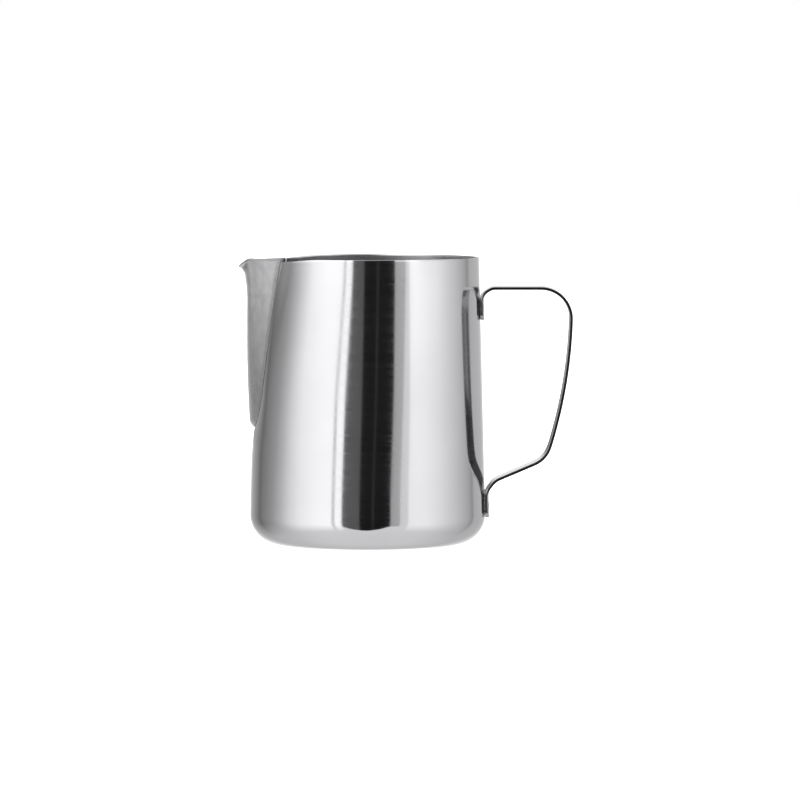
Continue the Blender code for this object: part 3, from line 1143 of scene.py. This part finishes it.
@dataclass
class Studio:
    """A plain pale table in a light tent, and the camera that looks into it."""

    wall: WallShape
    folds: Sequence[TentFold] = (
        TentFold(-180, -180, -180, 1.00, 1.00),
        TentFold(-178.5, -178.5, -178.5, 1.00, 1.00, 0.15, 1.0, 0.15),
        TentFold(-173, -173, -173, 0.95, 0.95, 0.15, 0.9, 0.15),
        TentFold(-164, -164, -164, 0.75, 0.75, 0.40, 1.0, 0.55),
        TentFold(-156, -156, -156, 0.50, 0.50, 0.70, 1.0, 0.95),
        TentFold(-142, -142, -142, 0.36, 0.36, 0.8, 1.0, 0.9),
        TentFold(-131, -131, -131, 0.19, 0.19, 1.0, 1.2),
        TentFold(-110, -120, -124.5, 0.27, 0.27, 1.0, 1.4),
        TentFold(-90, -112, -118.5, 0.31, 0.31, 1.0, 1.5),
        TentFold(-82, -99, -106, 0.43, 0.43, 1.0, 1.5),
        TentFold(-73, -89, -94, 0.65, 0.65, 1.0, 1.5),
        TentFold(-63, -78, -81.6, 0.98, 0.98, 1.0, 1.4),
        TentFold(-57, -68, -69, 1.22, 1.22, 1.0, 1.3),
        TentFold(-50, -53, -53, 1.35, 1.35, 1.0, 1.2),
        TentFold(-42, -42, -42, 1.39, 1.39, 1.03, 1.3),
        TentFold(-23.6, -32.4, -35.0, 1.41, 0.74, 1.04, 1.3),
        TentFold(-20.8, -29.4, -32.0, 0.74, 1.44, 1.04, 1.3),
        TentFold(-14.6, -21.9, -25.0, 1.44, 0.128, 1.02),
        TentFold(-3.0, -5.3, -7.8, 0.128, 0.012),
        TentFold(10.0, 7.8, 4.4, 0.012, 0.045),
        TentFold(11.8, 9.4, 6.0, 0.045, 0.012),
        TentFold(28.2, 26.3, 22.2, 0.012, 0.51, 1.0, 1.8),
        TentFold(39.5, 36.0, 31.6, 0.55, 0.90, 1.0, 1.6),
        TentFold(43.5, 43.0, 40.0, 0.90, 1.23, 1.10, 1.4),
        TentFold(50, 50, 50, 1.24, 1.24, 1.16, 1.3),
        TentFold(60, 60, 60, 1.20, 1.20, 1.12),
        TentFold(76, 76, 76, 1.04, 1.04, 1.12),
        TentFold(92, 92, 92, 0.83, 0.83, 1.05),
        TentFold(108, 108, 108, 0.64, 0.64, 1.03),
        TentFold(119, 119, 119, 0.50, 0.50),
        TentFold(124, 124, 124, 0.37, 0.37),
        TentFold(129, 129, 129, 0.58, 0.58),
        TentFold(156, 156, 156, 0.60, 0.60),
        TentFold(164, 164, 164, 0.78, 0.78),
        TentFold(172, 172, 172, 0.92, 0.92),
        TentFold(180, 180, 180, 1.00, 1.00),
    )
    fold_heights: tuple[float, float, float] = (102 * MM, 56 * MM, 18 * MM)
    sill: float = 0.1  # share of the way from the middle to the low line where the middle's gain ends
    tent_radius: float = 3.0
    line_spacing: float = 3.0  # greatest bearing between two lines of points, in degrees
    line_steps: int = 6  # points between two stations of a line
    tent_high: float = 1.1
    crown_over: float = 0.14  # from what the wall mirrors near its top to the crown's full gain
    dimming_from: float = math.radians(-14)  # elevation where the tent starts to fade into the table
    dimming_to: float = math.radians(-38)
    flag_level: float = 0.56  # panels darker than this hang as flags with a round lower end
    flag_middle: float = -1.7
    flag_half_width: float = 24.0
    flag_reach: float = 2.0  # half-widths within which a dark panel is a flag
    flag_end_middle: float = math.radians(-35.6)
    flag_end_side: float = math.radians(-18.7)
    floor_radius: float = 6.0
    floor_level: float = -0.05 * MM
    floor_glow: float = 0.8
    lamp_size: float = 1.6
    lamp_height: float = 1.7
    lamp_power: float = 18.0
    camera_at: tuple[float, float, float] = (0.0122, -2.0, 0.165)
    camera_aim: tuple[float, float, float] = (0.0122, 0.0, 0.054)
    lens: float = 238.6
    sky_level: float = 1.5
    back_sky_level: float = 0.12
    front_table_level: float = 0.92
    back_table_level: float = 0.48
    near_table_level: float = 0.85
    table_span: float = 0.5  # how far to the back and the front the table's light changes
    sky_backward: tuple[float, float, float] = (-0.2, 1.0, 0.0)
    sky_span: float = 0.4  # how far backward the sky dims
    horizon: float = 0.1  # how far up and down the table's light blends with the sky's
    near_table: float = -0.35  # sine of the elevation below which the table is near

    def glow(self) -> bpy.types.Material:
        """Build the tent's light, whose level each panel's mesh carries.

        Returns:
            The node material.
        """
        material, tree = new_tree("tent_light")
        level = add_node(tree, "ShaderNodeAttribute", attribute_name="level")
        show(tree, "ShaderNodeEmission", {"Strength": level.outputs["Fac"]})
        return material

    def mirrored_height(self, height: float, bearing: float) -> float:
        """Height on the tent of what the wall mirrors to the camera.

        Args:
            height: height of the point on the wall.
            bearing: bearing of the mirrored point, in degrees.

        Returns:
            The mirrored point's height.
        """
        wall = self.wall
        taper = math.atan((wall.base_radius - wall.rim_radius) / (wall.height - wall.corner))
        down = math.atan((self.camera_at[2] - height) / -self.camera_at[1])
        return height + self.tent_radius * math.tan(2 * taper * math.cos(math.radians(bearing / 2)) - down)

    def table_level(self, bearing: float, elevation: float) -> float:
        """Brightness of the table, which is lit from below.

        Args:
            bearing: bearing in degrees.
            elevation: elevation in radians, below the horizon.

        Returns:
            The level that the world's nodes give in that direction.
        """
        backward = -math.cos(math.radians(bearing)) * math.cos(elevation)
        back = smooth((1 + backward / self.table_span) / 2)
        level = mix(self.front_table_level, self.back_table_level, back)
        shallow = min(1.0, (1 + math.sin(elevation)) / (1 + self.near_table))
        return mix(self.near_table_level, level, shallow)

    def hem(self, bearing: float, level: float) -> list[tuple[float, float]]:
        """Elevation and brightness of the tent at its lower stations.

        Args:
            bearing: bearing of the stations, in degrees.
            level: brightness of the tent above them.

        Returns:
            The stations, from the top down.
        """
        off = (bearing - self.flag_middle) / self.flag_half_width
        if level < self.flag_level and abs(off) < self.flag_reach:
            end = mix(self.flag_end_middle, self.flag_end_side, min(1.0, off * off))
            return [(end / 2, level), (end, level)]
        low = self.dimming_to
        return [(self.dimming_from, level), (low, self.table_level(bearing, low))]

    def panel_line(self, left: TentFold, right: TentFold, t: float) -> list[tuple[Vector, float]]:
        """Points up the tent, on a line between two folds.

        Args:
            left: the fold with the smaller bearings.
            right: the next fold.
            t: the line's share of the way from left to right.

        Returns:
            The points from the top down, each with its brightness.
        """
        pairs = ((left.top, right.top), (left.middle, right.middle), (left.low, right.low))
        bearings = [mix(a, b, t) for a, b in pairs]
        heights = [self.mirrored_height(h, b) for h, b in zip(self.fold_heights, bearings)]
        level = mix(left.after, right.before, t)
        bright = level * mix(left.top_gain, right.top_gain, t)
        crown = level * mix(left.crown_gain, right.crown_gain, t)
        middle = level * mix(left.middle_gain, right.middle_gain, t)
        stations = [
            (self.tent_high, bearings[0], crown),
            (heights[0] + self.crown_over, bearings[0], crown),
            (heights[0], bearings[0], bright),
            (heights[1], bearings[1], middle),
            (mix(heights[1], heights[2], self.sill), mix(bearings[1], bearings[2], self.sill), level),
            (heights[2], bearings[2], level),
        ]
        panel_level = (left.after + right.before) / 2
        for (elevation, _), (_, low) in zip(self.hem(bearings[2], panel_level), self.hem(bearings[2], level)):
            stations.append((self.tent_radius * math.tan(elevation), bearings[2], low))
        line = []
        for (z0, b0, l0), (z1, b1, l1) in zip(stations, stations[1:]):
            for s in steps(self.line_steps)[int(bool(line)) :]:
                bearing = math.radians(mix(b0, b1, s))
                point = Vector((math.sin(bearing), -math.cos(bearing), 0)) * self.tent_radius
                point.z = mix(z0, z1, s)
                line.append((point, mix(l0, l1, s)))
        return line

    def build_tent(self) -> None:
        """Build the tent's panels. The camera sees past them, to the white beyond."""
        material = self.glow()
        for number, (left, right) in enumerate(zip(self.folds, self.folds[1:])):
            count = max(2, math.ceil((right.low - left.low) / self.line_spacing))
            lines = [self.panel_line(left, right, t) for t in steps(count)]
            tall = len(lines[0])
            verts = [point for line in lines for point, _ in line]
            levels = [level for line in lines for _, level in line]
            faces = [
                (i * tall + j, i * tall + j + 1, (i + 1) * tall + j + 1, (i + 1) * tall + j)
                for i in range(count)
                for j in range(tall - 1)
            ]
            name = f"tent_panel_{number:02d}"
            mesh = bpy.data.meshes.new(name)
            mesh.from_pydata(verts, [], faces)
            attribute = mesh.attributes.new("level", "FLOAT", "POINT")
            attribute.data.foreach_set("value", levels)
            mesh.materials.append(material)
            piece = bpy.data.objects.new(name, mesh)
            piece.visible_camera = False
            piece.visible_shadow = False
            bpy.context.scene.collection.objects.link(piece)
            piece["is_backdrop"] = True

    def cloth(self) -> bpy.types.Material:
        """Build the table's finish: matt white acrylic, lit from below as well.

        Returns:
            The node material.
        """
        material, tree = new_tree("table_acrylic")
        place = add_node(tree, "ShaderNodeTexCoord").outputs["Object"]
        inputs = {
            "Base Color": linear("#F4F4F4"),
            "Roughness": 0.9,
            "Specular IOR Level": 0.1,
            "Emission Color": (1.0, 1.0, 1.0, 1.0),
            "Emission Strength": self.floor_glow,
            "Normal": bumps(tree, noise(tree, place, 1 / (1.11 * MM), 3.0), 0.05, 0.1 * MM),
        }
        show(tree, "ShaderNodeBsdfPrincipled", inputs)
        return material

    def build_floor(self) -> None:
        """Build the table's top, which runs on as white to the horizon."""
        work = bmesh.new()
        turns = [math.tau * t for t in steps(96)]
        radii = [self.floor_radius * t * t for t in steps(24)]
        level = self.floor_level
        add_patch(work, [[Vector((r * math.cos(a), r * math.sin(a), level)) for a in turns] for r in radii])
        piece = make_piece("light_table", work, lambda point: Vector((0, 0, 1)))
        piece.data.materials.append(self.cloth())
        piece.visible_glossy = False
        piece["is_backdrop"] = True

    def build_world(self) -> None:
        """Soft light from all round, and white behind everything for the camera."""
        world = bpy.data.worlds.new("studio")
        world.use_nodes = True
        tree = world.node_tree
        tree.nodes.clear()
        away = add_node(tree, "ShaderNodeTexCoord").outputs["Generated"]
        parts = add_node(tree, "ShaderNodeSeparateXYZ", {"Vector": away}).outputs
        levels = self.front_table_level, self.back_table_level
        span = self.table_span
        far = ramp(tree, parts["Y"], -span, span, *levels, interpolation_type="SMOOTHSTEP")
        table = ramp(tree, parts["Z"], -1.0, self.near_table, self.near_table_level, far)
        backward = dot(tree, away, self.sky_backward)
        sky = ramp(tree, backward, 0.0, self.sky_span, self.sky_level, self.back_sky_level)
        white = (1.0, 1.0, 1.0, 1.0)
        level = ramp(tree, parts["Z"], -self.horizon, self.horizon, table, sky)
        soft = add_node(tree, "ShaderNodeBackground", {"Color": white, "Strength": level})
        plain = add_node(tree, "ShaderNodeBackground", {"Color": white, "Strength": 1.0})
        camera = add_node(tree, "ShaderNodeLightPath").outputs["Is Camera Ray"]
        seen = {0: camera, 1: soft.outputs[0], 2: plain.outputs[0]}
        surface = add_node(tree, "ShaderNodeMixShader", seen).outputs["Shader"]
        add_node(tree, "ShaderNodeOutputWorld", {"Surface": surface})
        bpy.context.scene.world = world

    def build_lamp(self) -> None:
        """A large soft lamp overhead, which whitens the table."""
        light = bpy.data.lights.new("overhead_softbox", "AREA")
        light.shape = "DISK"
        light.size = self.lamp_size
        light.energy = self.lamp_power
        lamp = bpy.data.objects.new("overhead_softbox", light)
        lamp.location = (0.0, 0.0, self.lamp_height)
        lamp.visible_camera = False
        lamp.visible_glossy = False
        bpy.context.scene.collection.objects.link(lamp)

    def build_camera(self) -> None:
        """A long lens, a little above the pitcher's rim."""
        data = bpy.data.cameras.new("camera")
        data.sensor_width, data.lens, data.clip_end = 36.0, self.lens, 50.0
        camera = bpy.data.objects.new("camera", data)
        camera.location = self.camera_at
        aim = Vector(self.camera_aim) - Vector(self.camera_at)
        camera.rotation_euler = aim.to_track_quat("-Z", "Y").to_euler()
        bpy.context.scene.collection.objects.link(camera)
        bpy.context.scene.camera = camera

    def build(self) -> None:
        """Build the whole studio."""
        self.build_world()
        self.build_tent()
        self.build_floor()
        self.build_lamp()
        self.build_camera()
        view = bpy.context.scene.view_settings
        view.view_transform = "Standard"
        view.look = "None"


def write_sizes(cad_box: tuple[Vector, Vector]) -> None:
    """Log the CAD model's box, in millimetres.

    Args:
        cad_box: the lowest and highest corner of the CAD model.
    """
    bpy.context.view_layer.update()
    LOG.info("cad box %s", [[round(v * 1000, 2) for v in corner] for corner in cad_box])


def main() -> None:
    """Build the pitcher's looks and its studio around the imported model."""
    logging.basicConfig(level=logging.INFO, format="%(name)s: %(message)s")
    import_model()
    cad_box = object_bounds()
    wall = WallShape()
    Studio(wall).build()
    cup = CupShell(wall)
    cup.dress(cup.build(), MirrorPolishedSteel())
    spout = PouringSpout(wall)
    spout.dress(spout.build(), SatinSteel(wall))
    weld = SeamWeld(wall)
    weld.dress(weld.build(), GroundWeldSteel())
    strap = HandleStrap(wall)
    strap.dress(strap.build(), TumbledStripSteel())
    marks = SpotWelds(wall, strap)
    mark_steel = GroundWeldSteel(name="stainless_spot_weld").material()
    for level in marks.heights:
        for hand in Hand:
            node = f"{level}_spot_weld_{hand.name.lower()}"
            marks.dress(marks.build(level, hand), mark_steel, node)

    write_sizes(cad_box)


if __name__ == "__main__":
    main()
